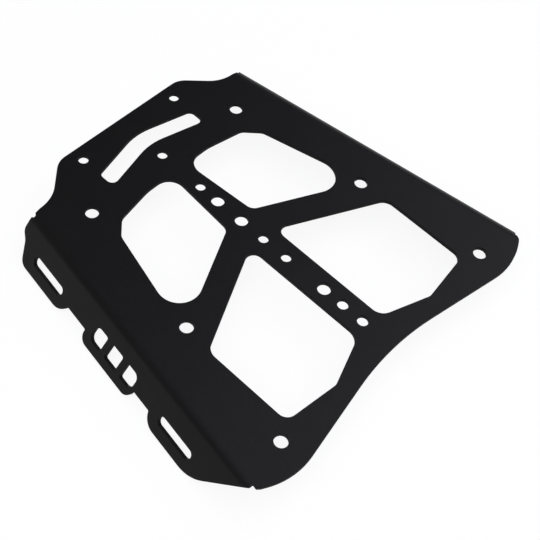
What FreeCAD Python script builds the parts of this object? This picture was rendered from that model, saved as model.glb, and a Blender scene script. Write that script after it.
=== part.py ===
import FreeCAD, Part

import math
import os

from FreeCAD import Matrix, Vector

# Side bag rack: one sheet-metal plate with a cut-out frame and two folded strap flanges.
# Lengths are in millimetres and angles in degrees. While it is built, the plate lies with its top
# face at z = 0, x runs along the spine from the middle row of side holes towards the wide end, and
# the half with y > 0 is mirrored to make the other half.

# Sheet and folds
SHEET = 3.0
BEND_ANGLE = 55.0
BEND_INSIDE_RADIUS = 9.0
BEND_SLANT = 8.87
BEND_HALF_WIDTH = 107.6
RELIEF_RADIUS = 1.6
RELIEF_STANDOFF = 0.1
RELIEF_FROM_FLANGE = 21.0

# Spine and the slanted strut between the two windows of each half
SPINE_HALF_WIDTH = 11.0
SPINE_HALF_WIDTH_NARROW = 7.0
STRUT_WIDTH = 18.2
STRUT_FOOT = -30.0
STRUT_HEAD = 9.67

# Wide window, between the strut and the wide end
WIDE_WINDOW_REACH = 89.6
WIDE_WINDOW_KNEE = 46.2
WIDE_WINDOW_FOOT_SETBACK = 12.6
WIDE_WINDOW_HEAD_SETBACK = 4.6
WIDE_RAIL = 22.3
WIDE_WINDOW_STRUT_FOOT_RADIUS = 6.0
WIDE_WINDOW_FOOT_RADIUS = 9.5
WIDE_WINDOW_KNEE_RADIUS = 6.0
WIDE_WINDOW_HEAD_RADIUS = 7.0
WIDE_WINDOW_STRUT_HEAD_RADIUS = 9.0

# Narrow window, between the strut and the narrow end
NARROW_WINDOW_REACH = 91.1
NARROW_WINDOW_KNEE = 28.0
NARROW_WINDOW_SHOULDER = 15.5
NARROW_WINDOW_CHAMFER = 10.4
NARROW_RAIL = 29.7
NARROW_RAIL_ANGLE = 14.8
NARROW_WINDOW_STRUT_FOOT_RADIUS = 7.0
NARROW_WINDOW_STRUT_HEAD_RADIUS = 14.8
NARROW_WINDOW_SHOULDER_RADIUS = 8.0
NARROW_WINDOW_KNEE_RADIUS = 40.0
NARROW_WINDOW_FOOT_RADIUS = 11.0

# Chevron slot and the narrow end of the plate
NARROW_BAR = 28.1
CHEVRON_WIDTH = 12.8
CHEVRON_SLANT = 13.7
CHEVRON_APEX_RADIUS = 44.0
CHEVRON_END_RADIUS = 4.5
CHEVRON_END_MARGIN = 12.7
END_BAND = 15.7
END_CORNER_ANGLE = 47.3
END_CORNER_RADIUS = 15.0
SHOULDER_SETBACK = 20.75
SHOULDER_LENGTH = 10.28
SHOULDER_LEAN = 0.65
SHOULDER_RADIUS = 26.0

# Wide end of the plate
WIDE_BAR = 12.7
WIDE_END_SLANT = 10.13
WIDE_END_RADIUS = 200.0
WIDE_CORNER_RADIUS = 50.0
WIDE_CORNER_RUN = 9.2
WIDE_CORNER_RISE = 13.35
WIDE_LIP_START = 2.8
WIDE_LIP_TURN = 16.0

# Round holes
LARGE_HOLE = 9.0
MEDIUM_HOLE = 7.5
SMALL_HOLE = 7.0
SIDE_HOLE_INSET = 24.8
NARROW_SIDE_HOLE_SETBACK = 11.0
WIDE_SIDE_HOLE_OFFSET = 1.9
END_HOLE_INSET = 9.9
END_HOLE_MARGIN = 13.3
SPINE_END_HOLE_SETBACK = 12.7
SPINE_SMALL_HOLE = -70.4
SPINE_LARGE_PAIR_CENTRE = -43.65
SPINE_LARGE_PAIR_PITCH = 21.5
SPINE_SMALL_PAIR_CENTRE = -3.2
SPINE_SMALL_PAIR_PITCH = 20.0
SPINE_MEDIUM_HOLE_SETBACK = 22.3
SPINE_MEDIUM_PAIR_PITCH = 16.5
SPINE_LARGE_HOLE_SETBACK = 15.85

# Strap flanges, measured along the bend and down from the corner line of the fold
FLANGE_DEPTH = 25.0
FLANGE_END_INSET = 1.25
FLANGE_END_DEPTH = 13.8
FLANGE_STEP_RUN = 5.4
FLANGE_STEP_DROP = 5.0
FLANGE_STEP_RADIUS = 6.0
WIDE_FLANGE_INSET = 2.35
WIDE_FLANGE_ANGLE = 42.8
TAB_DROP = 7.9
TAB_STEP_RADIUS = 1.0
TAB_SIDE_RADIUS = 11.0
TAB_SIDE_SLOPE = 70.0
NARROW_TAB_INSET = 12.46
NARROW_TAB_LENGTH = 44.9
NARROW_TAB_START_RADIUS = 7.4
MIDDLE_TAB_LENGTH = 52.0
MIDDLE_TAB_SHIFT = 1.75
MIDDLE_TAB_RADIUS = 6.5
WIDE_TAB_LENGTH = 43.9
WIDE_TAB_END_RADIUS = 26.0

# Strap slots and the barred window in the middle tab
STRAP_SLOT_LENGTH = 31.3
STRAP_SLOT_WIDTH = 6.6
STRAP_SLOT_INSET = 10.7
STRAP_SLOT_SHIFT = 0.6
TAB_WINDOW_MARGIN = 4.0
TAB_WINDOW_SHIFT = 2.0
TAB_WINDOW_HEIGHT = 11.6
TAB_WINDOW_INSET = 12.0
TAB_WINDOW_BAR = 5.0
TAB_WINDOW_OPENINGS = 3
TAB_WINDOW_END_RADIUS = 4.5
TAB_WINDOW_CORNER_RADIUS = 1.5


def tan(degrees):
    """Tangent of an angle in degrees."""
    return math.tan(math.radians(degrees))


def bend_line(x):
    """Distance from the spine to the start of the bend at x."""
    return BEND_HALF_WIDTH + x * tan(BEND_SLANT)


# Values that follow from the driving sizes
ROUNDING = 1e-6
BEND_OUTSIDE_RADIUS = BEND_INSIDE_RADIUS + SHEET
FOLD_SETBACK = BEND_OUTSIDE_RADIUS * tan(BEND_ANGLE / 2)
BEND_OVERRUN = 2 * FOLD_SETBACK
ALONG = Vector(math.cos(math.radians(BEND_SLANT)), math.sin(math.radians(BEND_SLANT)), 0)
OUTWARD = Vector(-ALONG.y, ALONG.x, 0)
BEND_AXIS_POINT = Vector(0, BEND_HALF_WIDTH, -BEND_OUTSIDE_RADIUS)
CUT_CLEARANCE = 1.0
CUT_LOW = -SHEET - CUT_CLEARANCE
CUT_HIGH = CUT_CLEARANCE

SIDE_HOLE_Y = BEND_HALF_WIDTH - SIDE_HOLE_INSET
STRUT_LEAN = (STRUT_HEAD - STRUT_FOOT) / SIDE_HOLE_Y
STRUT_HALF_RUN = STRUT_WIDTH / 2 * math.hypot(1, STRUT_LEAN)
NARROW_WINDOW_X = -NARROW_WINDOW_REACH
CHEVRON_INNER_X = NARROW_WINDOW_X - NARROW_BAR
CHEVRON_OUTER_X = CHEVRON_INNER_X - CHEVRON_WIDTH / math.cos(math.radians(CHEVRON_SLANT))
NARROW_END_X = CHEVRON_OUTER_X - END_BAND
SHOULDER_X = NARROW_END_X + SHOULDER_SETBACK
SHOULDER_Y = bend_line(SHOULDER_X + SHOULDER_LEAN) - SHOULDER_LENGTH
END_HALF_WIDTH = SHOULDER_Y - SHOULDER_SETBACK * tan(END_CORNER_ANGLE)
WIDE_END_X = WIDE_WINDOW_REACH + WIDE_BAR - WIDE_WINDOW_KNEE * tan(WIDE_END_SLANT)
WIDE_CORNER_Y = (
    (bend_line(WIDE_END_X - WIDE_CORNER_RUN) - WIDE_CORNER_RISE)
    / (1 - tan(WIDE_END_SLANT) * tan(BEND_SLANT))
)
WIDE_CORNER_X = WIDE_END_X + WIDE_CORNER_Y * tan(WIDE_END_SLANT)
BEND_START = (SHOULDER_X + SHOULDER_LEAN) / math.cos(math.radians(BEND_SLANT))
BEND_END = (WIDE_CORNER_X - WIDE_CORNER_RUN) / math.cos(math.radians(BEND_SLANT))

RELIEF_TURN = BEND_ANGLE - RELIEF_FROM_FLANGE
TAB_DEPTH = FLANGE_DEPTH + TAB_DROP
FLANGE_END = BEND_START + FLANGE_END_INSET
FLANGE_STEP_DEPTH = FLANGE_END_DEPTH + FLANGE_STEP_DROP
NARROW_TAB_START = FLANGE_END + NARROW_TAB_INSET
NARROW_TAB_END = NARROW_TAB_START + NARROW_TAB_LENGTH
WIDE_TAB_END = BEND_END - WIDE_FLANGE_INSET - TAB_DEPTH / tan(WIDE_FLANGE_ANGLE)
WIDE_TAB_START = WIDE_TAB_END - WIDE_TAB_LENGTH
MIDDLE_TAB_CENTRE = (NARROW_TAB_END + WIDE_TAB_START) / 2 + MIDDLE_TAB_SHIFT
MIDDLE_TAB_START = MIDDLE_TAB_CENTRE - MIDDLE_TAB_LENGTH / 2
MIDDLE_TAB_END = MIDDLE_TAB_CENTRE + MIDDLE_TAB_LENGTH / 2


def mirrored(corners):
    """Mirror images of the corners of one half, in the order that closes the outline."""
    return [(x, -y, radius) for x, y, radius in reversed(corners)]


def corner_turns(points):
    """Half of the angle that a closed outline turns through at each of its points."""
    turns = []
    for i, here in enumerate(points):
        back = points[i - 1] - here
        ahead = points[(i + 1) % len(points)] - here
        turns.append((math.pi - back.getAngle(ahead)) / 2)
    return turns


def rounded_outline(corners):
    """Closed wire through (x, y, radius) corners, each rounded by an arc that its sides leave room for."""
    points = [Vector(x, y, 0) for x, y, _ in corners]
    count = len(points)
    turns = corner_turns(points)
    wanted = [corner[2] * math.tan(turn) for corner, turn in zip(corners, turns)]
    tangents = list(wanted)
    for i in range(count):
        j = (i + 1) % count
        room = (points[j] - points[i]).Length
        share = min(1.0, room / max(wanted[i] + wanted[j], room))
        tangents[i] = min(tangents[i], wanted[i] * share)
        tangents[j] = min(tangents[j], wanted[j] * share)
    edges = []
    for i, here in enumerate(points):
        back = (points[i - 1] - here).normalize()
        ahead = (points[(i + 1) % count] - here).normalize()
        if tangents[i] > ROUNDING:
            middle = (back + ahead).normalize() * tangents[i] * math.tan(turns[i] / 2)
            arc = Part.Arc(here + back * tangents[i], here + middle, here + ahead * tangents[i])
            edges.append(arc.toShape())
        following = points[(i + 1) % count]
        start = here + ahead * tangents[i]
        end = following - ahead * tangents[(i + 1) % count]
        if (end - start).Length > ROUNDING:
            edges.append(Part.LineSegment(start, end).toShape())
    return Part.Wire(edges)


def prism(corners, low, high):
    """Solid with a rounded outline between two heights."""
    face = Part.Face(rounded_outline(corners))
    face.translate(Vector(0, 0, low))
    return face.extrude(Vector(0, 0, high - low))


def rectangle(centre_x, centre_y, length, height, radius):
    """Corners of a rounded rectangle."""
    x = length / 2
    y = height / 2
    return [(centre_x + i * x, centre_y + j * y, radius) for i, j in ((-1, -1), (1, -1), (1, 1), (-1, 1))]


def strut_face(y, side):
    """Place along the spine of the strut's face towards the wide (1) or narrow (-1) end."""
    return STRUT_FOOT + side * STRUT_HALF_RUN + y * STRUT_LEAN


def plate_outline():
    """Corners of the whole plate, whose ends run on past both bends."""
    wide_run = 1 + BEND_OVERRUN / WIDE_CORNER_RISE
    narrow_run = 1 + BEND_OVERRUN / SHOULDER_LENGTH
    half = [
        (WIDE_CORNER_X, WIDE_CORNER_Y, WIDE_CORNER_RADIUS),
        (WIDE_CORNER_X - WIDE_CORNER_RUN * wide_run, WIDE_CORNER_Y + WIDE_CORNER_RISE * wide_run, 0),
        (SHOULDER_X + SHOULDER_LEAN * narrow_run, SHOULDER_Y + SHOULDER_LENGTH * narrow_run, 0),
        (SHOULDER_X, SHOULDER_Y, SHOULDER_RADIUS),
        (NARROW_END_X, END_HALF_WIDTH, END_CORNER_RADIUS),
    ]
    return [(WIDE_END_X, 0, WIDE_END_RADIUS)] + half + mirrored(half)


def lip_trim():
    """Corners of the cutter that turns the plate's wide edge further in, just past the start of the bend."""
    edge = Vector(-WIDE_CORNER_RUN, WIDE_CORNER_RISE, 0).normalize()
    turn = math.atan2(WIDE_CORNER_RUN, WIDE_CORNER_RISE) + math.radians(WIDE_LIP_TURN)
    ahead = Vector(-math.sin(turn), math.cos(turn), 0) * BEND_OVERRUN
    aside = Vector(math.cos(turn), math.sin(turn), 0) * BEND_OVERRUN
    bend_corner = Vector(WIDE_CORNER_X - WIDE_CORNER_RUN, WIDE_CORNER_Y + WIDE_CORNER_RISE, 0)
    start = bend_corner + edge * WIDE_LIP_START
    return [(point.x, point.y, 0) for point in (start, start + aside, start + aside + ahead, start + ahead)]


def wide_window():
    """Corners of the window towards the wide end, in the half with y > 0."""
    head = BEND_HALF_WIDTH - WIDE_RAIL
    reach = WIDE_WINDOW_REACH
    return [
        (strut_face(SPINE_HALF_WIDTH, 1), SPINE_HALF_WIDTH, WIDE_WINDOW_STRUT_FOOT_RADIUS),
        (reach - WIDE_WINDOW_FOOT_SETBACK, SPINE_HALF_WIDTH, WIDE_WINDOW_FOOT_RADIUS),
        (reach, WIDE_WINDOW_KNEE, WIDE_WINDOW_KNEE_RADIUS),
        (reach - WIDE_WINDOW_HEAD_SETBACK, head, WIDE_WINDOW_HEAD_RADIUS),
        (strut_face(head, 1), head, WIDE_WINDOW_STRUT_HEAD_RADIUS),
    ]


def narrow_window():
    """Corners of the window towards the narrow end, in the half with y > 0."""
    shoulder_x = NARROW_WINDOW_X + NARROW_WINDOW_SHOULDER
    shoulder_y = bend_line(shoulder_x) - NARROW_RAIL
    slope = tan(NARROW_RAIL_ANGLE)
    head_y = (
        (shoulder_y + slope * (strut_face(0, -1) - shoulder_x))
        / (1 - slope * STRUT_LEAN)
    )
    taper = (SPINE_HALF_WIDTH - SPINE_HALF_WIDTH_NARROW) / (strut_face(0, -1) - NARROW_WINDOW_X)
    foot_y = SPINE_HALF_WIDTH / (1 - taper * STRUT_LEAN)
    return [
        (NARROW_WINDOW_X, SPINE_HALF_WIDTH_NARROW, NARROW_WINDOW_FOOT_RADIUS),
        (strut_face(foot_y, -1), foot_y, NARROW_WINDOW_STRUT_FOOT_RADIUS),
        (strut_face(head_y, -1), head_y, NARROW_WINDOW_STRUT_HEAD_RADIUS),
        (shoulder_x, shoulder_y, NARROW_WINDOW_SHOULDER_RADIUS),
        (shoulder_x - NARROW_WINDOW_CHAMFER, shoulder_y - NARROW_WINDOW_CHAMFER,
         NARROW_WINDOW_SHOULDER_RADIUS),
        (NARROW_WINDOW_X, NARROW_WINDOW_KNEE, NARROW_WINDOW_KNEE_RADIUS),
    ]


def chevron_slot():
    """Corners of the bent slot across the narrow end."""
    end = END_HALF_WIDTH - CHEVRON_END_MARGIN
    run = end * tan(CHEVRON_SLANT)
    half = [
        (CHEVRON_INNER_X + run, end, CHEVRON_END_RADIUS),
        (CHEVRON_OUTER_X + run, end, CHEVRON_END_RADIUS),
    ]
    inner_apex = [(CHEVRON_INNER_X, 0, CHEVRON_APEX_RADIUS)]
    outer_apex = [(CHEVRON_OUTER_X, 0, CHEVRON_APEX_RADIUS)]
    return inner_apex + half + outer_apex + mirrored(half)


def round_holes():
    """Every round hole in the plate as (x, y, diameter)."""
    side_x = [
        NARROW_WINDOW_X - NARROW_SIDE_HOLE_SETBACK,
        0.0,
        WIDE_WINDOW_REACH + WIDE_SIDE_HOLE_OFFSET,
    ]
    holes = [(x, bend_line(x) - SIDE_HOLE_INSET, LARGE_HOLE) for x in side_x]
    holes.append((NARROW_END_X + END_HOLE_INSET, END_HALF_WIDTH - END_HOLE_MARGIN, SMALL_HOLE))
    holes += [(x, -y, diameter) for x, y, diameter in holes]
    wide_x = WIDE_END_X - SPINE_MEDIUM_HOLE_SETBACK
    spine = [
        (CHEVRON_INNER_X + SPINE_END_HOLE_SETBACK, SMALL_HOLE),
        (SPINE_SMALL_HOLE, SMALL_HOLE),
        (SPINE_LARGE_PAIR_CENTRE - SPINE_LARGE_PAIR_PITCH / 2, LARGE_HOLE),
        (SPINE_LARGE_PAIR_CENTRE + SPINE_LARGE_PAIR_PITCH / 2, LARGE_HOLE),
        (SPINE_SMALL_PAIR_CENTRE - SPINE_SMALL_PAIR_PITCH / 2, SMALL_HOLE),
        (SPINE_SMALL_PAIR_CENTRE + SPINE_SMALL_PAIR_PITCH / 2, SMALL_HOLE),
        (wide_x - SPINE_MEDIUM_PAIR_PITCH - SPINE_LARGE_HOLE_SETBACK, LARGE_HOLE),
        (wide_x - SPINE_MEDIUM_PAIR_PITCH, MEDIUM_HOLE),
        (wide_x, MEDIUM_HOLE),
    ]
    return holes + [(x, 0, diameter) for x, diameter in spine]


def wide_flange_edge(depth):
    """Place along the bend of the flange's slanted wide end at a depth."""
    return WIDE_TAB_END + (TAB_DEPTH - depth) / tan(WIDE_FLANGE_ANGLE)


def flange_outline(top):
    """Corners of a flange from a depth near its fold down to its three tabs."""
    side_run = TAB_DROP / tan(TAB_SIDE_SLOPE)
    return [
        (FLANGE_END, top, 0),
        (FLANGE_END, FLANGE_END_DEPTH, FLANGE_STEP_RADIUS),
        (FLANGE_END + FLANGE_STEP_RUN, FLANGE_STEP_DEPTH, FLANGE_STEP_RADIUS),
        (NARROW_TAB_START, TAB_DEPTH, NARROW_TAB_START_RADIUS),
        (NARROW_TAB_END, TAB_DEPTH, TAB_SIDE_RADIUS),
        (NARROW_TAB_END + side_run, FLANGE_DEPTH, TAB_STEP_RADIUS),
        (MIDDLE_TAB_START, FLANGE_DEPTH, TAB_STEP_RADIUS),
        (MIDDLE_TAB_START, TAB_DEPTH, MIDDLE_TAB_RADIUS),
        (MIDDLE_TAB_END, TAB_DEPTH, MIDDLE_TAB_RADIUS),
        (MIDDLE_TAB_END, FLANGE_DEPTH, TAB_STEP_RADIUS),
        (WIDE_TAB_START - side_run, FLANGE_DEPTH, TAB_STEP_RADIUS),
        (WIDE_TAB_START, TAB_DEPTH, TAB_SIDE_RADIUS),
        (WIDE_TAB_END, TAB_DEPTH, WIDE_TAB_END_RADIUS),
        (wide_flange_edge(top), top, 0),
    ]


def flange_openings():
    """Corner lists of the strap slots and of the barred window's openings."""
    slot_depth = TAB_DEPTH - STRAP_SLOT_INSET
    slot_centres = (
        (NARROW_TAB_START + NARROW_TAB_END) / 2 + STRAP_SLOT_SHIFT,
        (WIDE_TAB_START + WIDE_TAB_END) / 2 - STRAP_SLOT_SHIFT,
    )
    openings = [
        rectangle(centre, slot_depth, STRAP_SLOT_LENGTH, STRAP_SLOT_WIDTH, STRAP_SLOT_WIDTH / 2)
        for centre in slot_centres
    ]
    return openings + tab_window()


def tab_window():
    """Corner lists of the openings between the bars of the middle tab's window, whose ends are rounder."""
    centre = MIDDLE_TAB_CENTRE + TAB_WINDOW_SHIFT
    depth = TAB_DEPTH - TAB_WINDOW_INSET
    length = MIDDLE_TAB_LENGTH - 2 * TAB_WINDOW_MARGIN
    pitch = (length + TAB_WINDOW_BAR) / TAB_WINDOW_OPENINGS
    last = TAB_WINDOW_OPENINGS - 1
    openings = []
    for k in range(TAB_WINDOW_OPENINGS):
        place = centre + (k - last / 2) * pitch
        narrow_side = TAB_WINDOW_END_RADIUS if k == 0 else TAB_WINDOW_CORNER_RADIUS
        wide_side = TAB_WINDOW_END_RADIUS if k == last else TAB_WINDOW_CORNER_RADIUS
        corners = rectangle(place, depth, pitch - TAB_WINDOW_BAR, TAB_WINDOW_HEIGHT, 0)
        openings.append([(x, y, narrow_side if x < place else wide_side) for x, y, _ in corners])
    return openings


def folded_frame():
    """Placement of a flat piece whose y runs down the folded flange, from the fold's corner line."""
    turn = math.radians(BEND_ANGLE)
    down = OUTWARD * math.cos(turn) - Vector(0, 0, math.sin(turn))
    normal = OUTWARD * math.sin(turn) + Vector(0, 0, math.cos(turn))
    corner_line = Vector(0, BEND_HALF_WIDTH, 0) + OUTWARD * FOLD_SETBACK
    return FreeCAD.Placement(Matrix(
        ALONG.x, down.x, normal.x, corner_line.x,
        ALONG.y, down.y, normal.y, corner_line.y,
        ALONG.z, down.z, normal.z, corner_line.z,
        0, 0, 0, 1))


def bend_part(start_angle, end_angle, low, high):
    """The bend between two angles that the sheet has turned through and two places along it."""
    foot = Vector(0, BEND_HALF_WIDTH, 0)
    section = Part.Face(Part.makePolygon([
        foot + ALONG * low,
        foot + ALONG * high,
        foot + ALONG * high - Vector(0, 0, SHEET),
        foot + ALONG * low - Vector(0, 0, SHEET),
        foot + ALONG * low,
    ]))
    section.rotate(BEND_AXIS_POINT, ALONG * -1, start_angle)
    return section.revolve(BEND_AXIS_POINT, ALONG * -1, end_angle - start_angle)


def relief_notch(place):
    """Round cutter square to the bent sheet, at a place along the bend."""
    turn = math.radians(RELIEF_TURN)
    normal = OUTWARD * math.sin(turn) + Vector(0, 0, math.cos(turn))
    base = BEND_AXIS_POINT + ALONG * place
    return Part.makeCylinder(RELIEF_RADIUS, BEND_OUTSIDE_RADIUS + CUT_CLEARANCE, base, normal)


def side_flange():
    """Bend and flange on the side with y > 0, with relief notches at both ends of the bend."""
    frame = folded_frame()
    low = FLANGE_END - BEND_OVERRUN
    high = wide_flange_edge(0) + BEND_OVERRUN
    bend_reach = BEND_OUTSIDE_RADIUS + SHEET
    plate_side = prism(plate_outline(), -bend_reach, CUT_HIGH)
    plate_side = plate_side.cut(prism(lip_trim(), -bend_reach, CUT_HIGH))
    upper_bend = bend_part(0, RELIEF_TURN, low, high).common(plate_side)
    flange_side = prism(flange_outline(-BEND_OVERRUN), -bend_reach, bend_reach)
    flange_side.Placement = frame
    lower_bend = bend_part(RELIEF_TURN, BEND_ANGLE, low, high).common(flange_side)
    flange = prism(flange_outline(FOLD_SETBACK), -SHEET, 0)
    openings = [prism(corners, CUT_LOW, CUT_HIGH) for corners in flange_openings()]
    flange = flange.cut(openings)
    flange.Placement = frame
    folded = upper_bend.fuse([lower_bend, flange])
    relief_depth = FOLD_SETBACK - BEND_OUTSIDE_RADIUS * math.sin(math.radians(RELIEF_FROM_FLANGE))
    places = (FLANGE_END - RELIEF_STANDOFF, wide_flange_edge(relief_depth) + RELIEF_STANDOFF)
    return folded.cut([relief_notch(place) for place in places])


def rack_plate():
    """The whole folded sheet, standing on its tabs with the origin under the middle of its box."""
    low = NARROW_END_X - CUT_CLEARANCE
    high = WIDE_CORNER_X + CUT_CLEARANCE
    half = [(low, bend_line(low), 0), (high, bend_line(high), 0)]
    between_bends = prism(half + mirrored(half), -SHEET, 0)
    plate = prism(plate_outline(), -SHEET, 0).common(between_bends)
    cuts = [prism(chevron_slot(), CUT_LOW, CUT_HIGH)]
    for half in (wide_window(), narrow_window()):
        cuts.append(prism(half, CUT_LOW, CUT_HIGH))
        cuts.append(prism(mirrored(half), CUT_LOW, CUT_HIGH))
    for x, y, diameter in round_holes():
        cuts.append(Part.makeCylinder(diameter / 2, CUT_HIGH - CUT_LOW, Vector(x, y, CUT_LOW)))
    plate = plate.cut(cuts)
    flange = side_flange()
    opposite = flange.mirror(Vector(0, 0, 0), Vector(0, 1, 0))
    sheet = plate.fuse([flange, opposite]).removeSplitter()
    box = sheet.BoundBox
    sheet.translate(Vector(-(box.XMin + box.XMax) / 2, 0, -box.ZMin))
    return sheet


def main():
    """Write the rack as one solid."""
    os.makedirs("parts", exist_ok=True)
    sheet = rack_plate()
    box = sheet.BoundBox
    print("valid", sheet.isValid(), "solids", len(sheet.Solids), "volume", round(sheet.Volume, 1))
    print("box", [round(v, 3) for v in (box.XLength, box.YLength, box.ZLength)])
    sheet.exportStep("parts/rack_plate.step")


main()
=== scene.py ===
import logging
import math
from dataclasses import dataclass
from enum import Enum

import bmesh
import bpy
import numpy as np
from mathutils import Matrix, Quaternion, Vector


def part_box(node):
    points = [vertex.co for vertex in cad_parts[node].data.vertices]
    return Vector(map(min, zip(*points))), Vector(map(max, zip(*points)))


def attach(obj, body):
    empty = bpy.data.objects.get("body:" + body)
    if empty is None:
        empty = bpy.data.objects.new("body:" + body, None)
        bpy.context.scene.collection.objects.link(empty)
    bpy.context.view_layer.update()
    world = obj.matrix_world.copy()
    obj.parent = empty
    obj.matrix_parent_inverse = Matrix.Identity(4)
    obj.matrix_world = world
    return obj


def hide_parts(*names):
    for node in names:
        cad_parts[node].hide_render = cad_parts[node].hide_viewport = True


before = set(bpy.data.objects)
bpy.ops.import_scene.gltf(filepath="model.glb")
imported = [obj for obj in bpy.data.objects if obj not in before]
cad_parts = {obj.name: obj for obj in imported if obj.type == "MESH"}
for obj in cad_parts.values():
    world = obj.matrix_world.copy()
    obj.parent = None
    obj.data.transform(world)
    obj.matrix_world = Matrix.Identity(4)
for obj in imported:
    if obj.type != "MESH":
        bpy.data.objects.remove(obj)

# Side bag rack for a motorcycle: one folded sheet with a satin black powder coat, lying on a pale
# studio floor with its flanges down. Lengths are in metres and angles in radians, in the frame of
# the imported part.

LOG = logging.getLogger("side_bag_rack")

Colour = tuple[float, float, float, float]
Light = tuple[float, float, float]
Place = tuple[float, float, float]
NamedSockets = dict[str, bpy.types.NodeSocket]

COOL_WHITE: Light = (0.88, 0.88, 1.0)
PLAIN_WHITE: Light = (1.0, 1.0, 1.0)

# Points this close are one point, and faces that meet at less than this angle are one face. A face
# of the flat blank whose normal rises more than this is one of its broad faces.
TOUCHING = 0.000001
LEVEL = math.radians(0.1)
BROAD = 0.9

# Inputs and outputs of Blender's Mix node, which has a set of them for each kind of value.
MIX_FACTOR = 0
MIX_FLOATS = (2, 3)
MIX_COLOURS = (6, 7)
MIX_FLOAT_RESULT = 0
MIX_COLOUR_RESULT = 2

# Most values of a noise lie in this span, and this share of the speck cells stays empty.
NOISE_SPAN = (0.3, 0.7)
EMPTY_CELLS = 0.8


class Zone(Enum):
    """Zone of the sheet's surface, whose value is its material slot."""

    SKIN = 0
    CUT = 1


class Effect(Enum):
    """Name of a shader node group that the coats share."""

    GRAIN = "powder_grain"
    TONE = "coat_tone"


def grey(level: float) -> Colour:
    """Opaque neutral colour of a level."""
    return (level, level, level, 1.0)


@dataclass(frozen=True)
class Socket:
    """One socket of a shader node group.

    Attributes:
        name: Name that the material sees.
        kind: Blender's socket type.
        default: Value of an input that nothing feeds.
    """

    name: str
    kind: str = "NodeSocketFloat"
    default: float | None = None


class Graph:
    """Small helper that adds and links nodes in one node tree."""

    def __init__(self, tree: bpy.types.NodeTree) -> None:
        """Keep the node tree of a material, a world or a group, and empty it."""
        self.tree = tree
        tree.nodes.clear()

    def node(self, kind: str, **values: object) -> bpy.types.Node:
        """Add a node.

        Args:
            kind: Blender's node type.
            values: Properties of the node, or values of its inputs by socket name with
                underscores for spaces.

        Returns:
            The new node.
        """
        made = self.tree.nodes.new(kind)
        for key, value in values.items():
            if hasattr(made, key):
                setattr(made, key, value)
            else:
                made.inputs[key.replace("_", " ")].default_value = value
        return made

    def link(self, source: bpy.types.NodeSocket, target: bpy.types.NodeSocket) -> None:
        """Join an output to an input."""
        self.tree.links.new(source, target)

    def feed(
        self, value: bpy.types.NodeSocket | Colour | float, target: bpy.types.NodeSocket
    ) -> None:
        """Give an input a link or a fixed value.

        Args:
            value: Output to join, or the fixed value.
            target: Input that gets it.
        """
        if isinstance(value, bpy.types.NodeSocket):
            self.link(value, target)
        else:
            target.default_value = value

    def mix(
        self, factor: bpy.types.NodeSocket, low: bpy.types.NodeSocket | Colour, high: Colour
    ) -> bpy.types.NodeSocket:
        """Blend two colours.

        Args:
            factor: Share of the second colour.
            low: Colour at 0.
            high: Colour at 1.

        Returns:
            The blended colour.
        """
        made = self.node("ShaderNodeMix", data_type="RGBA")
        self.link(factor, made.inputs[MIX_FACTOR])
        for index, colour in zip(MIX_COLOURS, (low, high)):
            self.feed(colour, made.inputs[index])
        return made.outputs[MIX_COLOUR_RESULT]

    def calculate(
        self, operation: str, first: bpy.types.NodeSocket, second: bpy.types.NodeSocket | float
    ) -> bpy.types.NodeSocket:
        """Work out one value from two.

        Args:
            operation: Blender's name of the operation.
            first: First value.
            second: Second value.

        Returns:
            The result.
        """
        made = self.node("ShaderNodeMath", operation=operation)
        for target, value in zip(made.inputs, (first, second)):
            self.feed(value, target)
        return made.outputs[0]

    def evened(self, noise: bpy.types.NodeSocket) -> bpy.types.NodeSocket:
        """Stretch a noise from its usual span to 0..1.

        Args:
            noise: Noise to stretch.

        Returns:
            The stretched noise.
        """
        low, high = NOISE_SPAN
        made = self.node("ShaderNodeMapRange", From_Min=low, From_Max=high)
        self.link(noise, made.inputs["Value"])
        return made.outputs["Result"]

    def span(self, value: bpy.types.NodeSocket, low: float, high: float) -> bpy.types.NodeSocket:
        """Stretch a value from 0..1 to another span.

        Args:
            value: Value to stretch.
            low: Result at 0.
            high: Result at 1.

        Returns:
            The stretched value.
        """
        made = self.node("ShaderNodeMapRange", To_Min=low, To_Max=high)
        self.link(value, made.inputs["Value"])
        return made.outputs["Result"]


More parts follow.
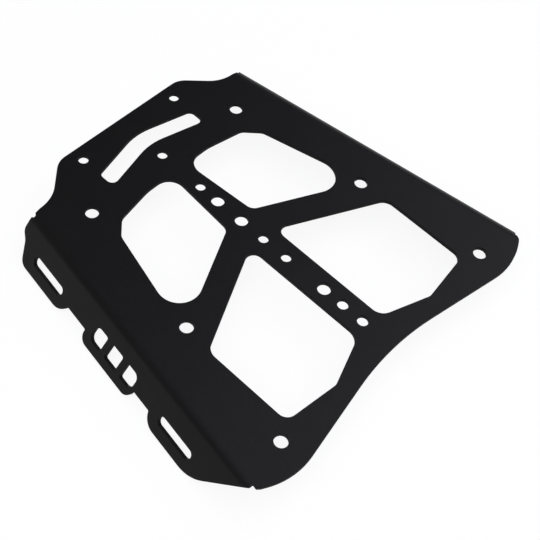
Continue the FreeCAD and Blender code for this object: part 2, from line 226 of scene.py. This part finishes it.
class EffectLibrary:
    """Shader node groups that more than one coat uses, each built once."""

    def __init__(self) -> None:
        """Build every group."""
        self.groups = {Effect.GRAIN: self.powder_grain(), Effect.TONE: self.coat_tone()}

    @staticmethod
    def open_group(
        effect: Effect, inputs: list[Socket], outputs: list[Socket]
    ) -> tuple[Graph, NamedSockets, NamedSockets]:
        """Start a node group.

        Args:
            effect: Group to make.
            inputs: Sockets that a material feeds.
            outputs: Sockets that a material reads.

        Returns:
            The graph, the group's inputs by name as outputs of a node, and its outputs by name.
        """
        tree = bpy.data.node_groups.new(effect.value, "ShaderNodeTree")
        for side, sockets in (("INPUT", inputs), ("OUTPUT", outputs)):
            for item in sockets:
                made = tree.interface.new_socket(item.name, in_out=side, socket_type=item.kind)
                if item.default is not None:
                    made.default_value = item.default
        graph = Graph(tree)
        source = graph.node("NodeGroupInput")
        target = graph.node("NodeGroupOutput")
        given = {item.name: source.outputs[item.name] for item in inputs}
        wanted = {item.name: target.inputs[item.name] for item in outputs}
        return graph, given, wanted

    def powder_grain(self) -> bpy.types.NodeTree:
        """Fused powder: a soft orange peel with fine grain on it.

        Returns:
            Group with a height for a bump and a gloss mask.
        """
        graph, given, wanted = self.open_group(
            Effect.GRAIN,
            [Socket("Vector", "NodeSocketVector"), Socket("Peel Scale", default=900.0),
             Socket("Grain Scale", default=4200.0), Socket("Grain Share", default=0.35)],
            [Socket("Height"), Socket("Gloss")],
        )
        peel = graph.node("ShaderNodeTexNoise", Detail=2.0, Roughness=0.45)
        grain = graph.node("ShaderNodeTexNoise", Detail=1.0, Roughness=0.6)
        for texture, scale in ((peel, "Peel Scale"), (grain, "Grain Scale")):
            graph.link(given["Vector"], texture.inputs["Vector"])
            graph.link(given[scale], texture.inputs["Scale"])
        blend = graph.node("ShaderNodeMix", data_type="FLOAT")
        graph.link(given["Grain Share"], blend.inputs[MIX_FACTOR])
        for index, texture in zip(MIX_FLOATS, (peel, grain)):
            graph.link(texture.outputs["Fac"], blend.inputs[index])
        graph.link(blend.outputs[MIX_FLOAT_RESULT], wanted["Height"])
        graph.link(graph.evened(grain.outputs["Fac"]), wanted["Gloss"])
        return graph.tree

    def coat_tone(self) -> bpy.types.NodeTree:
        """Slow unevenness of the coat, with sparse paler specks of settled dust.

        Returns:
            Group with a cloudy tone mask and a speck mask.
        """
        graph, given, wanted = self.open_group(
            Effect.TONE,
            [Socket("Vector", "NodeSocketVector"), Socket("Cloud Scale", default=28.0),
             Socket("Speck Scale", default=420.0), Socket("Speck Size", default=0.055)],
            [Socket("Cloud"), Socket("Specks")],
        )
        cloud = graph.node("ShaderNodeTexNoise", Detail=3.0, Roughness=0.55)
        graph.link(given["Vector"], cloud.inputs["Vector"])
        graph.link(given["Cloud Scale"], cloud.inputs["Scale"])
        graph.link(graph.evened(cloud.outputs["Fac"]), wanted["Cloud"])
        cells = graph.node("ShaderNodeTexVoronoi", feature="F1")
        graph.link(given["Vector"], cells.inputs["Vector"])
        graph.link(given["Speck Scale"], cells.inputs["Scale"])
        near = graph.calculate("LESS_THAN", cells.outputs["Distance"], given["Speck Size"])
        drawn = graph.node("ShaderNodeSeparateColor")
        graph.link(cells.outputs["Color"], drawn.inputs["Color"])
        filled = graph.calculate("GREATER_THAN", drawn.outputs["Red"], EMPTY_CELLS)
        graph.link(graph.calculate("MULTIPLY", near, filled), wanted["Specks"])
        return graph.tree

    def place(
        self, graph: Graph, effect: Effect, vector: bpy.types.NodeSocket, **values: float
    ) -> bpy.types.Node:
        """Put a group into a material.

        Args:
            graph: The material's graph.
            effect: Group to place.
            vector: Coordinates for the group.
            values: Values of the group's inputs, with underscores for spaces.

        Returns:
            The group's node.
        """
        made = graph.node("ShaderNodeGroup", node_tree=self.groups[effect])
        graph.link(vector, made.inputs["Vector"])
        for key, value in values.items():
            made.inputs[key.replace("_", " ")].default_value = value
        return made


@dataclass(frozen=True)
class PowderCoat:
    """Satin black powder coat on one zone of the sheet.

    Attributes:
        name: Name of the material.
        dark: Colour where the coat is thickest.
        pale: Colour where it is thinnest.
        dust: Colour of the settled specks.
        smooth: Roughness of the glossiest grains.
        rough: Roughness of the dullest grains.
        specular: Specular level of the coat.
        stretch: Scale of the coordinates along the sheet's thickness.
        peel_scale: Scale of the orange peel.
        bump: Strength of the bump.
        depth: Height of the bump.
    """

    name: str
    dark: Colour
    pale: Colour
    dust: Colour
    smooth: float
    rough: float
    specular: float
    stretch: float
    peel_scale: float
    bump: float
    depth: float

    def material(self, effects: EffectLibrary) -> bpy.types.Material:
        """Make the material.

        Args:
            effects: Node groups to use.

        Returns:
            The coat's material.
        """
        made = bpy.data.materials.new(self.name)
        made.use_nodes = True
        graph = Graph(made.node_tree)
        output = graph.node("ShaderNodeOutputMaterial")
        coat = graph.node("ShaderNodeBsdfPrincipled", Specular_IOR_Level=self.specular)
        graph.link(coat.outputs[0], output.inputs["Surface"])
        flat = graph.node("ShaderNodeAttribute", attribute_name=FoldedSheet.FLAT_PATTERN)
        mapping = graph.node("ShaderNodeMapping", Scale=(1.0, 1.0, self.stretch))
        graph.link(flat.outputs["Vector"], mapping.inputs["Vector"])
        vector = mapping.outputs["Vector"]
        grain = effects.place(graph, Effect.GRAIN, vector, Peel_Scale=self.peel_scale)
        tone = effects.place(graph, Effect.TONE, vector)
        clouded = graph.mix(tone.outputs["Cloud"], self.dark, self.pale)
        dusted = graph.mix(tone.outputs["Specks"], clouded, self.dust)
        graph.link(dusted, coat.inputs["Base Color"])
        roughness = graph.span(grain.outputs["Gloss"], self.smooth, self.rough)
        graph.link(roughness, coat.inputs["Roughness"])
        bump = graph.node("ShaderNodeBump", Strength=self.bump, Distance=self.depth)
        graph.link(grain.outputs["Height"], bump.inputs["Height"])
        graph.link(bump.outputs["Normal"], coat.inputs["Normal"])
        return made


def turned(x: np.ndarray, y: np.ndarray, angle: float) -> tuple[np.ndarray, np.ndarray]:
    """Coordinates of points turned about the origin, from the first axis towards the second."""
    cos, sin = math.cos(angle), math.sin(angle)
    return x * cos - y * sin, x * sin + y * cos


@dataclass
class FoldedSheet:
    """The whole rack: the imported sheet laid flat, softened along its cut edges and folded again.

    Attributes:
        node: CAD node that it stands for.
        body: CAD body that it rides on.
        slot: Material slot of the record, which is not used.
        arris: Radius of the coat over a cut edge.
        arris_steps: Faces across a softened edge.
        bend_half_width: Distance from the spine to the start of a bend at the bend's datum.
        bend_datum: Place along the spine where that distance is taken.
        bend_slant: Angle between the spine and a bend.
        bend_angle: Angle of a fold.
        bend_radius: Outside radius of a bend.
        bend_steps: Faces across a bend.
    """

    FLAT_PATTERN = "flat_pattern"

    node: str = "rack_plate"
    body: str = "root"
    slot: str = "black_coat"
    arris: float = 0.00025
    arris_steps: int = 3
    bend_half_width: float = 0.1076
    bend_datum: float = 0.018555
    bend_slant: float = math.radians(8.87)
    bend_angle: float = math.radians(55.0)
    bend_radius: float = 0.012
    bend_steps: int = 22

    def build(self, name: str) -> bpy.types.Object:
        """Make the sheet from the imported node.

        Args:
            name: Name of the piece.

        Returns:
            The new object, which rides on the rack's body and stands for the node.
        """
        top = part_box(self.node)[1][2]
        work = self.blank(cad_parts[self.node].data, top)
        self.soften(work)
        self.score(work)
        mesh = self.fold(work, top)
        self.even_normals(mesh)
        piece = bpy.data.objects.new(name, mesh)
        bpy.context.scene.collection.objects.link(piece)
        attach(piece, self.body)
        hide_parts(self.node)
        return piece

    def blank(self, source: bpy.types.Mesh, top: float) -> bmesh.types.BMesh:
        """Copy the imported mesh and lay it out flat, with its broad faces marked as skin.

        Args:
            source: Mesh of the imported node, which stays as it is.
            top: Height of the plate's upper face.

        Returns:
            The flat blank.
        """
        work = bmesh.new()
        work.from_mesh(source)
        bmesh.ops.remove_doubles(work, verts=work.verts, dist=TOUCHING)
        flat = self.unfolded(np.array([vertex.co for vertex in work.verts]), top)
        for vertex, place in zip(work.verts, flat):
            vertex.co = place
        work.normal_update()
        bmesh.ops.dissolve_limit(work, angle_limit=LEVEL, verts=work.verts, edges=work.edges)
        for face in work.faces:
            broad = abs(face.normal.z) > BROAD
            face.material_index = (Zone.SKIN if broad else Zone.CUT).value
            face.smooth = True
        return work

    def soften(self, work: bmesh.types.BMesh) -> None:
        """Round the edges between the skin and the cut walls.

        Args:
            work: The flat blank.
        """
        rims = [
            edge for edge in work.edges
            if len({face.material_index for face in edge.link_faces}) > 1
        ]
        bmesh.ops.bevel(
            work, geom=rims, offset=self.arris, offset_type="OFFSET", segments=self.arris_steps,
            profile=0.5, affect="EDGES", clamp_overlap=False, loop_slide=False,
            material=Zone.CUT.value,
        )

    def score(self, work: bmesh.types.BMesh) -> None:
        """Divide the blank along the lines where it bends.

        Args:
            work: The flat blank.
        """
        for side in (1.0, -1.0):
            outward = Vector((-math.sin(self.bend_slant), side * math.cos(self.bend_slant), 0.0))
            start = Vector((0.0, side * self.bend_half_width, 0.0))
            for turn in np.linspace(0.0, self.bend_angle, self.bend_steps + 1):
                bmesh.ops.bisect_plane(
                    work, geom=work.verts[:] + work.edges[:] + work.faces[:], dist=TOUCHING,
                    plane_co=start + outward * self.bend_radius * turn, plane_no=outward,
                )

    def fold(self, work: bmesh.types.BMesh, top: float) -> bpy.types.Mesh:
        """Fold the blank and keep each point's place on it for the coats.

        Args:
            work: The flat blank, which is used up.
            top: Height of the plate's upper face.

        Returns:
            The folded mesh.
        """
        mesh = bpy.data.meshes.new("folded_sheet")
        flat = np.array([vertex.co for vertex in work.verts])
        work.to_mesh(mesh)
        work.free()
        attribute = mesh.attributes.new(self.FLAT_PATTERN, "FLOAT_VECTOR", "POINT")
        attribute.data.foreach_set("vector", flat.astype(np.float32).ravel())
        mesh.vertices.foreach_set("co", self.folded(flat, top).astype(np.float32).ravel())
        mesh.update()
        return mesh

    def unfolded(self, points: np.ndarray, top: float) -> np.ndarray:
        """Places on the flat blank, with its upper face at height 0.

        Args:
            points: Places on the folded sheet.
            top: Height of the plate's upper face.

        Returns:
            The same points on the blank.
        """
        x = points[:, 0] - self.bend_datum
        y = np.abs(points[:, 1]) - self.bend_half_width
        along, out = turned(x, y, -self.bend_slant)
        height = points[:, 2] - top + self.bend_radius
        turn = np.clip(np.arctan2(out, height), 0.0, self.bend_angle)
        straight, _ = turned(out, height, self.bend_angle)
        past = np.where(turn >= self.bend_angle, straight, 0.0)
        bent = out > 0.0
        radius = np.where(bent, out * np.sin(turn) + height * np.cos(turn), height)
        across = np.where(bent, self.bend_radius * turn + past, out)
        flat_x, flat_y = turned(along, across, self.bend_slant)
        flat_y = (self.bend_half_width + flat_y) * np.sign(points[:, 1])
        return np.column_stack((flat_x, flat_y, radius - self.bend_radius))

    def folded(self, flat: np.ndarray, top: float) -> np.ndarray:
        """Places on the folded sheet.

        Args:
            flat: Places on the flat blank.
            top: Height of the plate's upper face.

        Returns:
            The same points on the folded sheet.
        """
        y = np.abs(flat[:, 1]) - self.bend_half_width
        along, across = turned(flat[:, 0], y, -self.bend_slant)
        turn = np.clip(across / self.bend_radius, 0.0, self.bend_angle)
        past = np.maximum(across - self.bend_radius * self.bend_angle, 0.0)
        radius = self.bend_radius + flat[:, 2]
        bent_out = radius * np.sin(turn) + past * math.cos(self.bend_angle)
        out = np.where(across > 0.0, bent_out, across)
        height = radius * np.cos(turn) - past * math.sin(self.bend_angle)
        x, y = turned(along, out, self.bend_slant)
        y = (self.bend_half_width + y) * np.sign(flat[:, 1])
        return np.column_stack((self.bend_datum + x, y, top - self.bend_radius + height))

    def even_normals(self, mesh: bpy.types.Mesh) -> None:
        """Give every point a normal weighted by its faces' areas, so that broad faces stay flat.

        Args:
            mesh: Mesh that gets the normals.
        """
        normals = np.zeros((len(mesh.vertices), 3))
        for polygon in mesh.polygons:
            weighted = np.array(polygon.normal) * polygon.area
            for vertex in polygon.vertices:
                normals[vertex] += weighted
        lengths = np.linalg.norm(normals, axis=1, keepdims=True)
        normals /= np.maximum(lengths, np.finfo(float).tiny)
        mesh.normals_split_custom_set_from_vertices(normals.tolist())

    def dress(self, piece: bpy.types.Object, effects: EffectLibrary) -> None:
        """Coat the skin and the cut walls.

        Args:
            piece: The sheet.
            effects: Node groups for the coats.
        """
        coats = {
            Zone.SKIN: PowderCoat(
                "satin_black_coat", dark=grey(0.0047), pale=grey(0.0059), dust=grey(0.02),
                smooth=0.37, rough=0.47, specular=0.19, stretch=1.0, peel_scale=1500.0,
                bump=0.6, depth=0.00014,
            ),
            Zone.CUT: PowderCoat(
                "coated_cut_edge", dark=(0.0042, 0.0042, 0.0044, 1.0),
                pale=(0.0066, 0.0066, 0.0069, 1.0), dust=grey(0.012),
                smooth=0.5, rough=0.64, specular=0.08, stretch=0.06, peel_scale=2200.0,
                bump=0.5, depth=0.00006,
            ),
        }
        for zone in Zone:
            piece.data.materials.append(coats[zone].material(effects))


@dataclass(frozen=True)
class Softbox:
    """One large soft lamp.

    Attributes:
        name: Name of the lamp.
        place: Place of its middle.
        aim: Point that it faces.
        size: Width and height of its face.
        level: Brightness of its face, where 1 is white.
        colour: Colour of its light.
        turn: Angle that it is turned about its own axis.
    """

    name: str
    place: Place
    aim: Place
    size: tuple[float, float]
    level: float
    colour: Light
    turn: float = 0.0

    def build(self) -> bpy.types.Object:
        """Make the lamp.

        Returns:
            The lamp's object.
        """
        data = bpy.data.lights.new(self.name, "AREA")
        data.shape = "RECTANGLE"
        data.size, data.size_y = self.size
        data.energy = self.level * math.pi * self.size[0] * self.size[1]
        data.color = self.colour
        lamp = bpy.data.objects.new(self.name, data)
        lamp.location = self.place
        lamp.rotation_mode = "QUATERNION"
        aimed = (Vector(self.aim) - Vector(self.place)).to_track_quat("-Z", "Y")
        lamp.rotation_quaternion = aimed @ Quaternion((0.0, 0.0, 1.0), self.turn)
        bpy.context.scene.collection.objects.link(lamp)
        return lamp


@dataclass
class Studio:
    """Pale floor, soft surroundings and lamps.

    Attributes:
        floor_reach: Radius of the floor.
        floor_sides: Number of the floor's sides.
        floor_gap: Distance from the rack's lowest point down to the floor.
        floor_tone: Diffuse level of the floor.
        floor_glow: Level that the camera and reflections see before the lamps add to it.
        floor_shadow: Share of the lamps' light that the camera sees on the floor.
        horizon: Level of the surroundings at the horizon.
        ceiling: Level of the surroundings overhead.
        fade: Sines of the elevations where the horizon's level starts and ends to fall.
        lamps: Softboxes.
    """

    floor_reach: float = 12.0
    floor_sides: int = 96
    floor_gap: float = 0.0002
    floor_tone: float = 0.8
    floor_glow: float = 0.908
    floor_shadow: float = 0.12
    horizon: float = 0.13
    ceiling: float = 0.085
    fade: tuple[float, float] = (0.2, 0.8)
    lamps: tuple[Softbox, ...] = (
        Softbox(
            "overhead_softbox", place=(0.41, 1.64, 1.45), aim=(0.41, 1.64, 0.0), size=(1.5, 2.8),
            level=1.86, colour=COOL_WHITE, turn=math.radians(2.5),
        ),
        Softbox(
            "front_softbox", place=(0.02, -0.96, 1.45), aim=(0.02, -0.96, 0.0), size=(1.0, 2.2),
            level=2.1, colour=COOL_WHITE, turn=math.radians(-8.0),
        ),
        Softbox(
            "back_softbox", place=(-0.85, 1.95, 1.45), aim=(-0.85, 1.95, 0.0), size=(0.9, 1.5),
            level=0.4, colour=COOL_WHITE,
        ),
        Softbox(
            "side_softbox", place=(0.8, -1.2, 1.5), aim=(0.0, 0.0, 0.0), size=(0.8, 0.8),
            level=2.0, colour=PLAIN_WHITE,
        ),
        Softbox(
            "end_softbox", place=(-1.7, -0.1, 0.45), aim=(0.0, 0.0, 0.02), size=(1.6, 0.5),
            level=0.95, colour=PLAIN_WHITE,
        ),
    )

    def build(self) -> bpy.types.Object:
        """Make the floor, the world and the lamps.

        Returns:
            The floor.
        """
        floor = self.floor()
        self.world()
        for lamp in self.lamps:
            lamp.build()
        return floor

    def floor(self) -> bpy.types.Object:
        """Make a round floor with a white finish that keeps a faint shadow.

        Returns:
            The floor's object.
        """
        work = bmesh.new()
        bmesh.ops.create_circle(
            work, cap_ends=True, segments=self.floor_sides, radius=self.floor_reach
        )
        mesh = bpy.data.meshes.new("studio_floor")
        work.to_mesh(mesh)
        work.free()
        mesh.materials.append(self.floor_finish())
        floor = bpy.data.objects.new("studio_floor", mesh)
        floor.location.z = -self.floor_gap
        bpy.context.scene.collection.objects.link(floor)
        return floor

    def floor_finish(self) -> bpy.types.Material:
        """Make the floor's material.

        Returns:
            A material that looks white and still takes the rack's shadow.
        """
        made = bpy.data.materials.new("studio_white")
        made.use_nodes = True
        graph = Graph(made.node_tree)
        output = graph.node("ShaderNodeOutputMaterial")
        plain = graph.node("ShaderNodeBsdfDiffuse", Color=grey(self.floor_tone))
        shaded = graph.node("ShaderNodeBsdfDiffuse", Color=grey(self.floor_shadow))
        glow = graph.node("ShaderNodeEmission", Strength=self.floor_glow)
        shown = graph.node("ShaderNodeAddShader")
        graph.link(shaded.outputs[0], shown.inputs[0])
        graph.link(glow.outputs[0], shown.inputs[1])
        path = graph.node("ShaderNodeLightPath")
        seen = path.outputs["Is Camera Ray"]
        for ray in ("Is Glossy Ray", "Is Transmission Ray"):
            seen = graph.calculate("MAXIMUM", seen, path.outputs[ray])
        choice = graph.node("ShaderNodeMixShader")
        graph.link(seen, choice.inputs[0])
        graph.link(plain.outputs[0], choice.inputs[1])
        graph.link(shown.outputs[0], choice.inputs[2])
        graph.link(choice.outputs[0], output.inputs["Surface"])
        return made

    def world(self) -> None:
        """Surround the scene with a soft grey that darkens overhead."""
        made = bpy.data.worlds.new("studio_surround")
        made.use_nodes = True
        graph = Graph(made.node_tree)
        output = graph.node("ShaderNodeOutputWorld")
        background = graph.node("ShaderNodeBackground")
        place = graph.node("ShaderNodeTexCoord")
        split = graph.node("ShaderNodeSeparateXYZ")
        graph.link(place.outputs["Generated"], split.inputs[0])
        low, high = self.fade
        fade = graph.node(
            "ShaderNodeMapRange", From_Min=low, From_Max=high, interpolation_type="SMOOTHSTEP"
        )
        graph.link(split.outputs["Z"], fade.inputs["Value"])
        level = graph.mix(fade.outputs["Result"], grey(self.horizon), grey(self.ceiling))
        graph.link(level, background.inputs["Color"])
        graph.link(background.outputs[0], output.inputs["Surface"])
        bpy.context.scene.world = made


@dataclass(frozen=True)
class PhotoCamera:
    """Camera at the photograph's place.

    Attributes:
        place: Place of the lens.
        right: Direction of the picture's right side.
        up: Direction of the picture's top.
        lens: Focal length in millimetres.
        sensor: Width of the sensor in millimetres.
        nearest: Distance from the lens at which the view starts.
    """

    place: Place = (0.248955, -0.356009, 0.620537)
    right: Place = (0.72782348, 0.676202, 0.11412207)
    up: Place = (-0.61086616, 0.56366618, 0.55598828)
    lens: float = 75.765
    sensor: float = 36.0
    nearest: float = 0.01

    def build(self) -> bpy.types.Object:
        """Make the camera and give it to the scene.

        Returns:
            The camera's object.
        """
        data = bpy.data.cameras.new("photo_camera")
        data.lens = self.lens
        data.sensor_width = self.sensor
        data.clip_start = self.nearest
        right, up = Vector(self.right), Vector(self.up)
        axes = Matrix((right, up, right.cross(up))).transposed()
        camera = bpy.data.objects.new("photo_camera", data)
        camera.matrix_world = Matrix.Translation(self.place) @ axes.to_4x4()
        bpy.context.scene.collection.objects.link(camera)
        bpy.context.scene.camera = camera
        return camera


def main() -> None:
    """Build the rack, its studio and its camera."""
    logging.basicConfig(level=logging.INFO, format="%(name)s: %(message)s")
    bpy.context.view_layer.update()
    bpy.context.scene.view_settings.view_transform = "Standard"
    effects = EffectLibrary()
    sheet = FoldedSheet()
    piece = sheet.build("coated_sheet")
    sheet.dress(piece, effects)
    LOG.info("%s: %d faces", piece.name, len(piece.data.polygons))
    floor = Studio().build()
    LOG.info("%s: %d faces", floor.name, len(floor.data.polygons))
    camera = PhotoCamera().build()
    LOG.info("%s: lens %.2f mm", camera.name, camera.data.lens)


if __name__ == "__main__":
    main()
